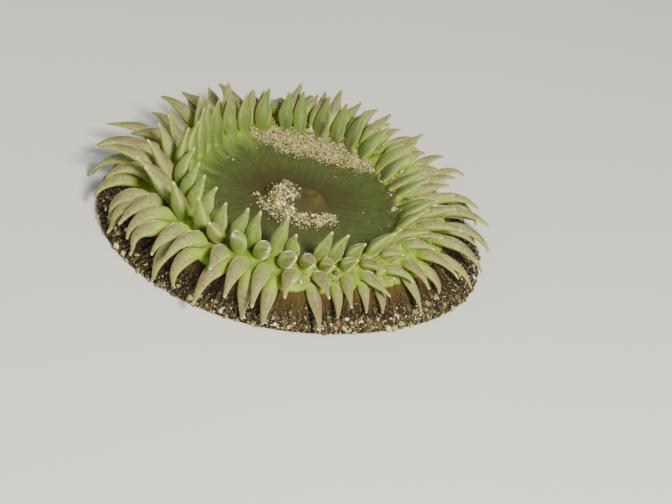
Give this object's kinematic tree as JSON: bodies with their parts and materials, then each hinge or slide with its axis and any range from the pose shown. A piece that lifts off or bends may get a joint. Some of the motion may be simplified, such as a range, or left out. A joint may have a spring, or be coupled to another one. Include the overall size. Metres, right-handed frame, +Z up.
{
  "type": "sea anemone",
  "caption": "Still life-size model of an open sea anemone: low spreading column on a flat foot, dished oral disc with a raised mouth, and whorls of short plump tentacles.",
  "frame": {"origin": "centre of the flat underside of the foot, on the floor", "axes": "+Z up, +X to the right seen from the front, the front faces -Y"},
  "size_m": [0.2047, 0.1848, 0.0533],
  "materials": {
    "column_skin": "wet brown skin with rows of small warts and shell grit stuck to it",
    "disc_skin": "wet olive green skin with fine spokes from the mouth outwards",
    "tentacle_skin": "wet, slightly clear flesh, bright green at the root and grey-buff to the pale tip",
    "grit": "mixed sand, fine gravel and broken shell"
  },
  "bodies": {
    "root": {"foot": "column_skin", "column": "column_skin", "oral_disc": "disc_skin", "lips": "disc_skin", "tentacles_01": "tentacle_skin", "tentacles_02": "tentacle_skin", "tentacles_03": "tentacle_skin", "tentacles_04": "tentacle_skin", "tentacles_05": "tentacle_skin", "tentacles_06": "tentacle_skin", "tentacles_07": "tentacle_skin", "tentacles_08": "tentacle_skin", "tentacles_09": "tentacle_skin", "tentacles_10": "tentacle_skin", "tentacles_11": "tentacle_skin", "tentacles_12": "tentacle_skin"}
  },
  "joints": []
}
